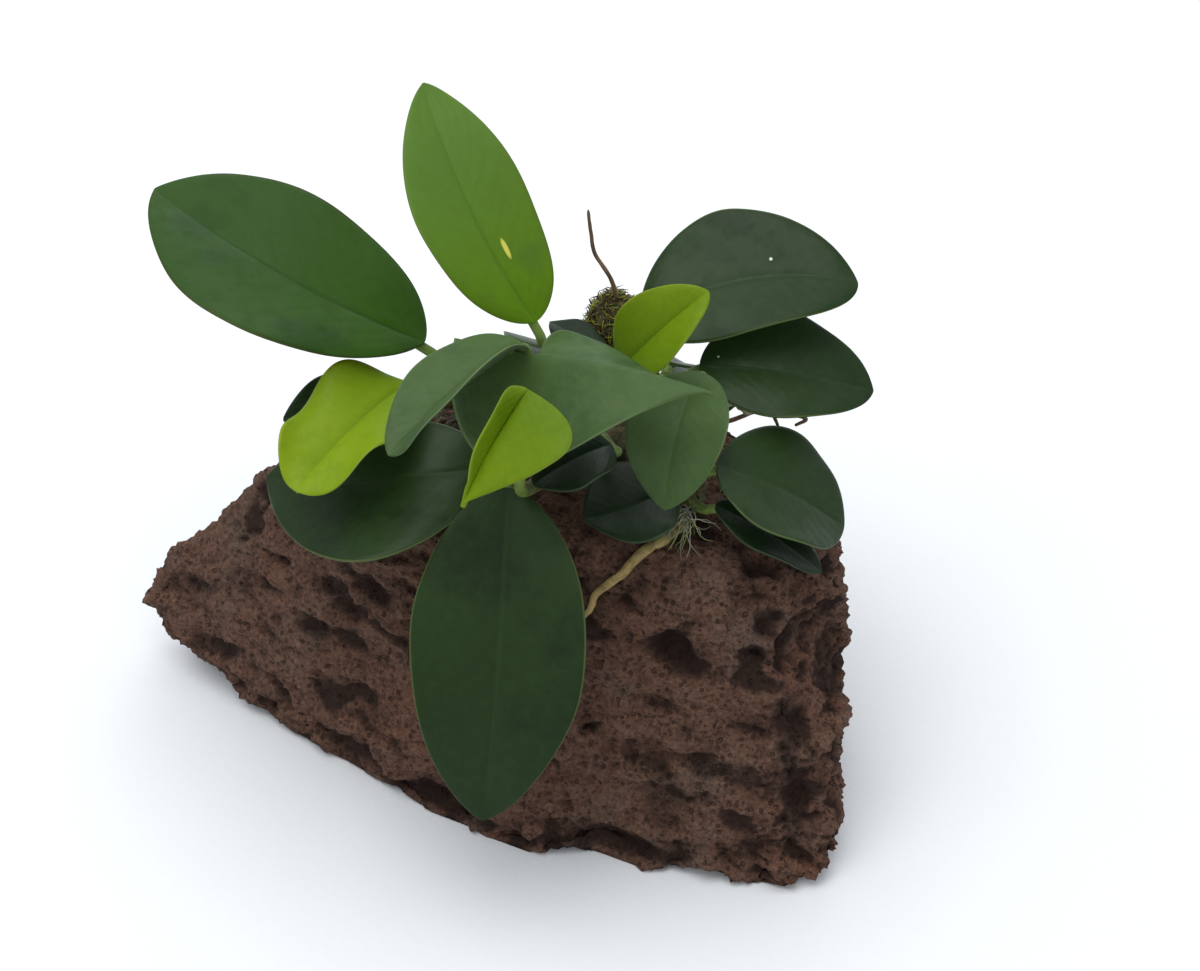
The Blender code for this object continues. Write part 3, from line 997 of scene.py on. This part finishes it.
@dataclass(frozen=True)
class Leaf:
    """One leaf: its blade from base to tip, its stalk, and its age."""

    name: str
    branch: str
    along: float
    lean: float
    base: Place
    tip: Place
    width: float
    age: Age = Age.OLD
    lead: float = 0.0
    skew: float = 0.0
    roll: float = 0.0
    arch: float = 0.06
    sweep: float = 0.0
    fold: tuple[float, float] = (8.0, 8.0)
    twist: float = 0.0
    belly: float = 0.45
    fullness: float = 0.65
    lobe: float = 0.0
    wave: float = 0.5
    phase: float = 0.0
    swing: Place = (0.0, 0.0, 0.0)

    THICKNESS = 0.5
    SOLID_THICKNESS = 0.9
    LENGTH_STEPS = 84
    WIDTH_STEPS = 44

    def axes(self) -> tuple[Vector, Vector, Vector]:
        """Works out the blade's own directions.

        Returns:
            The directions along its chord, to its right, and out of its upper side.
        """
        chord = (Vector(self.tip) - Vector(self.base)).normalized()
        upper = turned((UP - chord * chord.z).normalized(), chord, self.roll)
        return chord, chord.cross(upper), upper

    def half_width(self, along: float, least: float = 1.2) -> float:
        """Works out half the blade's mean width.

        Args:
            along: the share of its length, from 0 at the stalk.
            least: the least width.

        Returns:
            Half the width in millimetres, at least half of least.
        """
        rise = 2 * self.fullness * self.belly
        fall = 2 * self.fullness * (1 - self.belly)
        widest = self.belly**rise * (1 - self.belly) ** fall
        return max(along**rise * (1 - along) ** fall / widest * self.width, least) / 2

    def point(self, along: float, across: float, least: float = 1.2) -> Vector:
        """Finds a point of the blade's middle surface.

        Args:
            along: the share of its length, from 0 at the stalk.
            across: the share of its half width, from -1 at the left margin to 1 at the right.
            least: the width at which the blade starts and ends.

        Returns:
            The point in millimetres.
        """
        chord, right, upper = self.axes()
        length = (Vector(self.tip) - Vector(self.base)).length
        bow = 4 * along * (1 - along) * length
        midrib = Vector(self.base) + chord * along * length
        midrib += upper * bow * self.arch + right * bow * self.sweep
        spin = self.twist * (along - 0.5)
        right, upper = turned(right, chord, spin), turned(upper, chord, spin)
        side = math.copysign(1.0, across)
        reach = self.half_width(along, least) * abs(across) * (1 + side * self.skew)
        flatter = 1 - (2 * along - 1) ** 8
        fold = math.radians(self.fold[0] if across < 0 else self.fold[1]) * flatter
        ripple = self.wave * abs(across) ** 3 * math.sin(9 * along + 2 * across + self.phase)
        ripple *= 1 - (2 * along - 1) ** 4
        spread = right * side * reach * math.cos(fold) + upper * (reach * math.sin(fold) + ripple)
        return midrib + spread - chord * self.lobe * length * max(across, 0.0) ** 2 * (1 - along) ** 2

    def build_blade(self, finish: bpy.types.Material) -> bpy.types.Object:
        """Makes the blade: a thin closed sheet with its midrib, veins, quilting and thinned margin.

        Args:
            finish: the blade's material.

        Returns:
            The piece.
        """
        rows, columns = self.LENGTH_STEPS + 1, self.WIDTH_STEPS + 1
        along = (1 - np.cos(np.pi * np.linspace(0, 1, rows))) / 2
        spread = np.linspace(-1, 1, columns)
        across = np.sign(spread) * np.abs(spread) ** 1.25
        middle = np.empty((rows, columns, 3))
        for (i, a), (j, c) in itertools.product(enumerate(along), enumerate(across)):
            wobble = 1 + 0.035 * noise.noise(Vector((4 * a, 5.0 * (c > 0), self.width)))
            middle[i, j] = self.point(a, c * wobble, 0.5)
        seed = Vector(self.base)
        rough = np.array([[noise.noise(Vector(spot) / 13.0 + seed) for spot in row] for row in middle])
        d_along, d_across = np.gradient(middle, axis=0), np.gradient(middle, axis=1)
        normal = np.cross(d_across, d_along)
        normal /= np.maximum(np.linalg.norm(normal, axis=2, keepdims=True), 1e-9)
        a, c = np.meshgrid(along, across, indexing="ij")
        half = np.array([self.half_width(share, 0.5) for share in along])[:, None]
        off = np.abs(c) * half
        vein = a * VEINS - np.abs(c) * VEIN_SLANT + 0.5 * (c > 0) + 1.4 * rough
        gap = np.abs(vein % 1.0 - 0.5)
        veins = np.exp(-((gap / 0.09) ** 2)) * np.clip(off - 0.8, 0, 1) * (1 - c**6)
        groove = np.exp(-((off / 0.55) ** 2)) * (1 - 0.6 * a)
        ends = np.clip(np.minimum(a, 1 - a) * 12, 0, 1)
        relief = (0.35 * rough + 0.012 * np.cos(2 * np.pi * vein) * (1 - c**4) - 0.012 * veins) * ends
        half_thick = self.THICKNESS / 2 * (1 - 0.5 * np.abs(c) ** 10)
        top = middle + normal * (relief + half_thick - 0.16 * groove * ends)[..., None]
        rib = 0.5 * np.exp(-((off / 0.75) ** 2)) * (1 - 0.75 * a)
        bottom = middle + normal * (relief - half_thick - rib - 0.05 * veins)[..., None]
        skin = Skin()
        points = np.vstack([top.reshape(-1, 3), bottom.reshape(-1, 3)])
        both = {"along": np.tile(a.ravel(), 2), "across": np.tile(c.ravel(), 2)}
        skin.add(points, sheet_faces(rows, columns), under=np.repeat([0.0, 1.0], rows * columns), **both)
        made = skin.piece(self.name + "_blade_skin", finish)
        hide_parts(self.name + "_blade")
        self.age.slot
        return made

    def route(self, branches: dict[str, Branch]) -> list[Vector]:
        """Finds the stalk's way from inside its branch to under the midrib.

        Args:
            branches: the rhizome's branches by name.

        Returns:
            The points along the stalk's axis, in millimetres.
        """
        branch = branches[self.branch]
        place = self.along * (len(branch.path) - 1)
        index = min(int(place), len(branch.path) - 2)
        axis_point = branch.path[index].lerp(branch.path[index + 1], place - index)
        forward = (branch.path[index + 1] - branch.path[index]).normalized()
        right = forward.cross(UP).normalized()
        outward = (turned(right.cross(forward), forward, self.lean) + forward * self.lead).normalized()
        girth = tapered(branch.radius, branch.tip_radius, self.along)
        start = axis_point + outward * (girth + 2 * GAP)
        base = Vector(self.base)
        entry = (self.point(0.04, 0) - base).normalized()
        arrival = (entry * 0.5 + UP).normalized()
        end = base - arrival * (GAP + self.SOLID_THICKNESS) - entry * GAP
        pull = (end - start).length * 0.4
        swing = Vector(self.swing)
        leaving, arriving = start + outward * pull + swing, end - arrival * pull + swing
        way = interpolate_bezier(start, leaving, arriving, end, 24)
        upper = self.axes()[2]
        rib = [self.point(share, 0.0) - upper * (0.75 - share) for share in (0.035, 0.08, 0.14)]
        inside = [axis_point + outward * girth * 0.5]
        return smooth_path(inside + way[::2] + rib, 4)

    def build_stalk(self, branches: dict[str, Branch], finish: bpy.types.Material) -> bpy.types.Object:
        """Makes the stalk, which is a flared sheath at the rhizome and thins out under the blade.

        Args:
            branches: the rhizome's branches by name.
            finish: the stalk's material.

        Returns:
            The piece.
        """
        path = self.route(branches)
        size = 0.8 + 0.2 * min(1.0, self.width / 22)

        def radius_at(share: float, turn: float) -> float:
            """Gives the stalk's radius with its flare and its channel.

            Args:
                share: the place along the stalk, from 0 to 1.
                turn: the turn about its axis, in radians.

            Returns:
                The radius in millimetres.
            """
            flare = 0.9 * math.exp(-((share / 0.16) ** 2))
            end = 0.35 + 0.65 * min(1.0, (1.0 - share) / 0.16)
            channel = 0.14 * math.exp(-(((turn - math.pi) / 0.5) ** 2))
            spot = Vector((math.cos(turn), math.sin(turn), share * 9)) + Vector(self.base)
            return (1.05 - 0.3 * share + flare) * size * end * (1 - channel + 0.07 * noise.noise(spot))

        skin = Skin()
        skin.tube(path, radius_at, 16)
        made = skin.piece(self.name + "_stalk_skin", finish)
        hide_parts(self.name + "_stalk")
        return made


LEAVES = (
    Leaf(
        "far_left", "rhizome_left", 0.70, 20, (-16.8, 4.9, 70), (-61.6, 3.6, 85.5), 32, Age.GROWN,
        sweep=-0.11, fullness=0.68, belly=0.5
    ),
    Leaf("top", "rhizome_main", 0.42, 15, (-0.4, 9.7, 76), (-24.1, 21.7, 104), 19.5, Age.FRESH, sweep=-0.08),
    Leaf(
        "right_upper", "rhizome_right", 0.05, -60, (11.6, 21.0, 72), (40.5, 36.1, 78), 21.5,
        skew=-0.08, roll=22, sweep=-0.09, fullness=0.55
    ),
    Leaf(
        "right_middle", "rhizome_right", 0.35, -50, (22.0, 19.9, 68), (46.4, 29.6, 64), 18.5,
        skew=-0.08, roll=20, fullness=0.6
    ),
    Leaf(
        "right_lower", "rhizome_right", 0.92, 0, (30.8, 6.2, 62), (49.3, 11.5, 52.5), 23,
        belly=0.5, fullness=0.5
    ),
    Leaf("right_under", "rhizome_right", 0.97, 50, (32.0, 3.4, 57), (48.5, 5.0, 48.5), 10, Age.SHADED),
    Leaf(
        "centre_over", "rhizome_main", 0.66, -10, (5.8, -1.4, 80), (31.7, 1.0, 80), 25, Age.DULL,
        skew=0.4, roll=20, fold=(-50, -10), twist=-50, belly=0.25, fullness=1.05, lobe=0.5, swing=(0, 5, 0)
    ),
    Leaf(
        "centre_left", "rhizome_main", 0.54, 40, (2.1, -0.6, 80.5), (-5.7, -25.8, 76), 16.5, Age.DULL,
        skew=-0.15, roll=-10, fold=(60, 0)
    ),
    Leaf(
        "lime_centre", "rhizome_main", 1.0, 0, (11.1, -15.6, 86), (7.4, -29.0, 74), 14.5, Age.LIME_IN_SHADE,
        skew=-0.55, lead=2.0, fold=(5, 75), belly=0.24, fullness=0.85, swing=(-1.5, -8.5, -3)
    ),
    Leaf(
        "lime_left", "rhizome_left", 0.90, -40, (-16, -2, 67.5), (-20.6, -27.6, 65), 16, Age.LIME,
        skew=0.08, fold=(5, 25), wave=2.2, phase=4.0, belly=0.48, fullness=0.45
    ),
    Leaf(
        "left_low", "rhizome_main", 0.74, 75, (0.4, -8.5, 62), (-33.0, -16.6, 54), 25,
        skew=-0.2, roll=-20, sweep=-0.07
    ),
    Leaf("left_behind", "rhizome_left", 0.97, 10, (-20.0, 4.5, 59.5), (-33.5, -10.0, 60), 12, lead=1.0),
    Leaf("front", "rhizome_main", 0.92, 40, (5.6, -12.1, 63), (13.8, -39.0, 22), 26, sweep=-0.02),
    Leaf(
        "centre_drop", "rhizome_right", 0.60, -15, (24.5, 13.7, 72), (26.9, -3.8, 60), 15, Age.DULL,
        arch=0.12, sweep=0.03
    ),
    Leaf(
        "under_right", "rhizome_right", 0.62, 60, (25.2, 3.3, 57.8), (15.5, -7.0, 56.2), 18, Age.SHADED,
        arch=0.02, sweep=-0.08
    ),
    Leaf(
        "under_centre", "rhizome_main", 0.80, -50, (17.5, -2.0, 67.5), (9.8, -12.0, 65), 13, Age.SHADED,
        swing=(-2, 0, 0)
    ),
    Leaf(
        "lime_small", "rhizome_main", 0.44, -35, (14.2, 8.7, 73), (24.9, 15.2, 86), 12.5, Age.LIME_IN_SHADE,
        fold=(20, 25), roll=35
    ),
    Leaf("back_dark", "rhizome_main", 0.30, -20, (6.5, 19.0, 64), (-4.5, 23.0, 65), 6.5, Age.SHADED),
    Leaf("rear_left", "rhizome_main", 0.12, 60, (-9.0, 30.5, 53), (-12.0, 44.0, 32), 20, arch=0.12),
    Leaf("rear_right", "rhizome_main", 0.06, -70, (12.0, 32.0, 56), (13.0, 46.0, 34), 18, arch=0.12),
)


@dataclass(frozen=True)
class Root:
    """One root: the places that it passes, its thickness, and whether it clings to the stone."""

    node: str
    places: tuple[Place, ...]
    radius: float
    tip_radius: float
    clings: bool = True
    wander: float = 0.35

    def build(
        self, stone: LavaStone, centre: Vector, finish: bpy.types.Material, slot: str
    ) -> bpy.types.Object:
        """Makes the root's piece.

        Args:
            stone: the built stone, for a root that clings.
            centre: a point inside the stone.
            finish: the root's material.
            slot: the record's slot for it; not used.

        Returns:
            The piece.
        """
        path = smooth_path([Vector(place) for place in self.places], 14)
        last = len(path) - 1
        seed = Vector(self.places[0])
        strength = 1.5 if self.clings else 0.6
        free = []
        for index, place in enumerate(path):
            thick = tapered(self.radius, self.tip_radius, index / last)
            place = place + noise.noise_vector(place / 4.0 + seed) * self.wander * strength
            free.append(grip(stone.tree, place, thick * 0.75, centre) if self.clings else place)
        eased = [free[0]] + [(a + b * 2 + c) / 4 for a, b, c in zip(free, free[1:], free[2:])] + [free[-1]]

        def radius_at(share: float, turn: float) -> float:
            """Gives the root's radius with its knots.

            Args:
                share: the place along the root, from 0 to 1.
                turn: the turn about its axis, in radians.

            Returns:
                The radius in millimetres.
            """
            thick = tapered(self.radius, self.tip_radius, share)
            spot = Vector((math.cos(turn), math.sin(turn), share * 14)) + seed
            end = math.sqrt(max(0.02, 1.0 - max(0.0, (share - 0.93) / 0.07) ** 2))
            return thick * end * (1 + 0.16 * noise.noise(spot))

        skin = Skin()
        skin.tube(smooth_path(eased, 2), radius_at, 12)
        made = skin.piece(self.node + "_skin", finish)
        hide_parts(self.node)
        return made


ROOTS = (
    Root(
        "root_front",
        (
            (28.5, 3, 53), (27, -0.5, 53), (24.5, -5.5, 52),
            (22.5, -9, 50), (20.5, -11.5, 46), (18, -13.5, 41.5)
        ),
        1.1, 0.4
    ),
    Root("root_back_left", ((-12, 25, 54), (-18, 28, 44), (-20, 30, 30), (-25, 30, 16)), 0.9, 0.4),
    Root("root_back_middle", ((2, 34, 54), (3, 38, 44), (0, 40, 30), (4, 40, 14)), 1.0, 0.4),
    Root("root_back_right", ((14, 26, 56), (20, 34, 44), (22, 36, 28), (27, 36, 15)), 0.8, 0.35),
    Root("root_left", ((-20, 10, 56), (-28, 12, 48), (-36, 12, 34), (-40, 14, 20)), 0.8, 0.35),
    Root("root_right", ((32, 15, 52), (38, 22, 45), (41, 28, 34), (41, 30, 20)), 0.8, 0.35),
    Root(
        "root_rising", ((4.2, 29.6, 66), (3.4, 28.2, 72.5), (0.8, 28, 76.5), (0, 28, 81), (-0.3, 28, 84.5)),
        0.4, 0.25, False
    ),
    Root("root_fine_inner", ((24, 22, 55), (30.2, 27.6, 56), (32.7, 27.1, 54)), 0.4, 0.25, False),
    Root("root_fine_outer", ((27, 29, 54), (35.5, 30.8, 54), (34.5, 29.5, 53)), 0.4, 0.25, False),
)
CUT_STALK = Root(
    "cut_stalk", ((23, 12, 57), (25.5, 18, 62), (27.5, 20.5, 63), (31, 20, 62)), 1.2, 1.3, False, wander=0.1
)


@dataclass(frozen=True)
class OldEnd:
    """The rhizome's old end: a knobbly stump with matted fibres and moss that stands up behind the leaves."""

    centre: Place = (3.3, 29.4, 62.2)
    girth: float = 4.0
    height: float = 6.0
    fibres: int = 1100
    seed: int = 5

    def knob(self, direction: Vector) -> float:
        """Gives how far the bark stands out in a direction from the centre, about 1."""
        return 1.0 + 0.18 * noise.noise(direction * 2.3) + 0.12 * noise.fractal(direction * 5.0, 0.8, 2.0, 3)

    def surface(self, direction: Vector) -> Vector:
        """Finds the bark's surface in a direction from the centre."""
        spread = Vector((direction.x * self.girth, direction.y * self.girth, direction.z * self.height))
        return Vector(self.centre) + spread * self.knob(direction)

    def build(self, bark: bpy.types.Material, moss: bpy.types.Material) -> None:
        """Makes the stump and the fibres on it.

        Args:
            bark: the stump's material.
            moss: the fibres' material.
        """
        skin = Skin()
        steps = 40
        centre = Vector(self.centre)
        path = [centre + UP * self.height * -math.cos(math.pi * i / steps) for i in range(1, steps)]

        def radius_at(share: float, turn: float) -> float:
            """Gives the stump's radius about its upright axis.

            Args:
                share: the place along the stump, from 0 to 1.
                turn: the turn about its axis, in radians.

            Returns:
                The radius in millimetres.
            """
            height = -math.cos(math.pi * (1 + share * (steps - 2)) / steps)
            flat = math.sqrt(1 - height * height)
            direction = Vector((flat * math.cos(turn), flat * math.sin(turn), height))
            return self.girth * flat * self.knob(direction)

        skin.tube(path, radius_at, 48)
        knob = skin.piece("rhizome_old_end_bark", bark)
        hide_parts("rhizome_old_end")
        pick = random.Random(self.seed)
        tufts = Skin()
        for _ in range(self.fibres):
            direction = Vector((pick.gauss(0, 1), pick.gauss(0, 1), pick.gauss(0.35, 1))).normalized()
            start = self.surface(direction) - direction * 0.2
            drift = scatter(pick, 1)
            drift = (drift - direction * drift.dot(direction)).normalized()
            length = pick.uniform(0.8, 2.4)
            middle = start + direction * 0.55 + drift * length * 0.5
            end = start + direction * pick.uniform(0.2, 0.9) + drift * length
            thick = pick.uniform(0.08, 0.2)
            tufts.tube([start, middle, end], lambda share, turn: thick * (1 - 0.8 * share), 4, pick.random())
        fuzz = tufts.piece("old_end_fibres", moss)


@dataclass(frozen=True)
class Tuft:
    """A tuft of fine pale roots that hangs over the stone's edge from one place."""

    name: str
    start: Place
    heading: Place
    count: int
    length: float
    spread: float
    thick: float = 0.13
    seed: int = 1

    def build(self, stone: LavaStone, finish: bpy.types.Material) -> bpy.types.Object:
        """Makes the tuft, whose roots bend down until they lie on the stone.

        Args:
            stone: the built stone.
            finish: the fine roots' material.

        Returns:
            The piece.
        """
        pick = random.Random(self.seed)
        skin = Skin()
        for _ in range(self.count):
            place = Vector(self.start) + scatter(pick, 0.7)
            heading = (Vector(self.heading) + scatter(pick, self.spread)).normalized()
            path = [place]
            for _ in range(8):
                heading = (heading + scatter(pick, 0.28) - UP * 0.12).normalized()
                place = place + heading * self.length * pick.uniform(0.7, 1.2) / 8
                near, normal, _, distance = stone.tree.find_nearest(place)
                if (place - near).dot(normal) < self.thick:
                    place = near + normal * self.thick
                path.append(place)
            thick = self.thick * pick.uniform(0.6, 1.3)
            skin.tube(path, lambda share, turn: thick * (1 - 0.6 * share), 5, pick.random())
        made = skin.piece(self.name, finish)
        return made


TUFTS = (
    Tuft("root_tuft_front", (28.5, 0.5, 56.5), (0.2, -0.8, -0.1), 36, 6.0, 0.6, 0.09),
    Tuft("root_tuft_right", (31, 14, 54), (0.8, 0.3, -0.5), 40, 9.0, 0.5, seed=2),
    Tuft("root_tuft_left", (-13, 10, 55), (-0.6, -0.4, -0.6), 40, 8.0, 0.5, seed=3),
    Tuft("root_tuft_back", (4, 29, 56), (0.1, 0.9, -0.5), 60, 11.0, 0.6, seed=4),
)

STALK_FINISH = StemFinish((0.10, 0.075, 0.025), (0.14, 0.22, 0.035), (0.045, 0.075, 0.018))
BARK_FINISH = StemFinish((0.13, 0.10, 0.045), (0.09, 0.11, 0.03), (0.03, 0.026, 0.012), 0.48, 0.6, 0.2)
ROOT_FINISH = StemFinish((0.33, 0.30, 0.10), (0.38, 0.27, 0.10), (0.17, 0.12, 0.04), 0.38, 0.55)
DRY_ROOT_FINISH = StemFinish((0.20, 0.13, 0.06), (0.15, 0.09, 0.045), (0.07, 0.04, 0.02), 0.42, 0.7)
CUT_FINISH = StemFinish((0.16, 0.22, 0.06), (0.42, 0.42, 0.28), (0.12, 0.14, 0.05), 0.35, 0.6)
MOSS_FINISH = FibreFinish((0.035, 0.023, 0.011), (0.17, 0.125, 0.05), (0.26, 0.30, 0.03))
FINE_ROOT_FINISH = FibreFinish((0.13, 0.12, 0.09), (0.36, 0.35, 0.28), (0.24, 0.28, 0.10), 0.6)


@dataclass
class Anubias:
    """The whole plant: its rhizome with its old end, its leaves, its roots and its fine roots."""

    effects: Effects
    stone: LavaStone
    ground: Ground
    branches: dict[str, Branch] = field(default_factory=dict)

    def build(self) -> None:
        """Makes every piece of the plant in order."""
        self.build_rhizome()
        self.build_leaves()
        self.build_roots()

    def build_rhizome(self) -> None:
        """Makes the branches of the rhizome and its old end."""
        bark = BARK_FINISH.material("rhizome_bark", self.effects)
        for branch in BRANCHES:
            branch.lay(self.ground)
            self.branches[branch.node] = branch
            branch.build(bark)
        OldEnd().build(bark, MOSS_FINISH.material("old_end_moss", self.effects))
        log.info("rhizome: %d branches and the old end", len(BRANCHES))

    def build_leaves(self) -> None:
        """Makes each blade in its own material, and each stalk."""
        stalk_finish = STALK_FINISH.material("leaf_stalk_skin", self.effects)
        for number, leaf in enumerate(LEAVES):
            finish = LEAF_FINISHES[leaf.age]
            leaf.build_blade(finish.material(leaf.name + "_blade_skin", self.effects, 0.37 * number))
            leaf.build_stalk(self.branches, stalk_finish)
            log.info("leaf: %s", leaf.name)

    def build_roots(self) -> None:
        """Makes the roots, the cut stalk and the tufts of fine roots."""
        fresh = ROOT_FINISH.material("fresh_root_skin", self.effects)
        dry = DRY_ROOT_FINISH.material("dry_root_skin", self.effects)
        for root in ROOTS:
            finish = fresh if root.node == "root_front" else dry
            root.build(self.stone, self.ground.centre, finish, "root_skin")
        cut = CUT_FINISH.material("cut_stalk_skin", self.effects)
        CUT_STALK.build(self.stone, self.ground.centre, cut, "leaf_stalk")
        fine = FINE_ROOT_FINISH.material("fine_root_skin", self.effects)
        for tuft in TUFTS:
            tuft.build(self.stone, fine)
        log.info("roots: %d, tufts: %d", len(ROOTS), len(TUFTS))


# ---------------------------------------------------------------- the studio


@dataclass(frozen=True)
class Lamp:
    """One soft square light: where it stands, its size in metres, its power and its colour."""

    name: str
    place: Place
    size: float
    watts: float
    colour: Colour = (1.0, 1.0, 1.0)


@dataclass(frozen=True)
class Studio:
    """The pale floor, the soft lights and the camera."""

    target: Place = (1.3, 28.8, 28.4)
    eye: Place = (126.9, -240.6, 296.1)
    lens: float = 72.0
    floor: Colour = (0.80, 0.82, 0.84)
    sky: Colour = (0.93, 0.96, 1.0)
    sky_strength: float = 0.74
    lamps: tuple[Lamp, ...] = (
        Lamp("overhead", (-0.12, -0.06, 0.75), 0.7, 4.4),
        Lamp("behind", (-0.25, 0.65, 0.45), 0.5, 1.0, (0.95, 0.98, 1.0)),
    )

    def build(self) -> None:
        """Sets up the whole studio."""
        self.lay_floor()
        self.hang_lamps()
        self.place_camera()

    def lay_floor(self) -> None:
        """Lays a wide pale floor under the stone."""
        mesh = bpy.data.meshes.new("floor")
        mesh.from_pydata([(-3, -3, 0), (3, -3, 0), (3, 3, 0), (-3, 3, 0)], [], [(0, 1, 2, 3)])
        made, graph, shader = new_material("floor", Specular_IOR_Level=0.2)
        pale = graph.mix(graph.noise(900.0, 3.0), self.floor, tuple(part * 0.97 for part in self.floor))
        roughness = graph.ramp(graph.noise(300.0), 0.2, 0.8, 0.6, 0.8)
        dress(graph, shader, pale, roughness, graph.noise(1200.0), 0.05)
        mesh.materials.append(made)
        floor = bpy.data.objects.new("floor", mesh)
        bpy.context.scene.collection.objects.link(floor)

    def hang_lamps(self) -> None:
        """Hangs the soft lights and sets the pale surroundings."""
        world = bpy.data.worlds.new("studio")
        bpy.context.scene.world = world
        world.use_nodes = True
        sky = world.node_tree.nodes["Background"]
        sky.inputs[0].default_value = (*self.sky, 1.0)
        sky.inputs[1].default_value = self.sky_strength
        for lamp in self.lamps:
            light = bpy.data.lights.new(lamp.name, "AREA")
            light.size = lamp.size
            light.energy = lamp.watts
            light.color = lamp.colour
            made = bpy.data.objects.new(lamp.name, light)
            made.location = lamp.place
            made.rotation_euler = (-Vector(lamp.place)).to_track_quat("-Z", "Y").to_euler()
            bpy.context.scene.collection.objects.link(made)

    def place_camera(self) -> None:
        """Places the camera and aims it at its target."""
        camera = bpy.data.cameras.new("camera")
        camera.lens = self.lens
        camera.clip_start = 0.01
        made = bpy.data.objects.new("camera", camera)
        eye, target = Vector(self.eye) * MM, Vector(self.target) * MM
        made.location = eye
        made.rotation_euler = (target - eye).to_track_quat("-Z", "Y").to_euler()
        bpy.context.scene.collection.objects.link(made)
        bpy.context.scene.camera = made
        bpy.context.scene.view_settings.view_transform = "Standard"


def main() -> None:
    """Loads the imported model, builds every piece over it and sets up the studio."""
    logging.basicConfig(level=logging.INFO, format="%(message)s")
    noise.seed_set(NOISE_SEED)
    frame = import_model()
    effects = Effects()
    node = frame["nodes"]["stone"]
    stone = LavaStone(node)
    stone.build(LavaFinish().material("lava_stone_skin", effects))
    Anubias(effects, stone, Ground.of(node)).build()
    Studio().build()


if __name__ == "__main__":
    main()
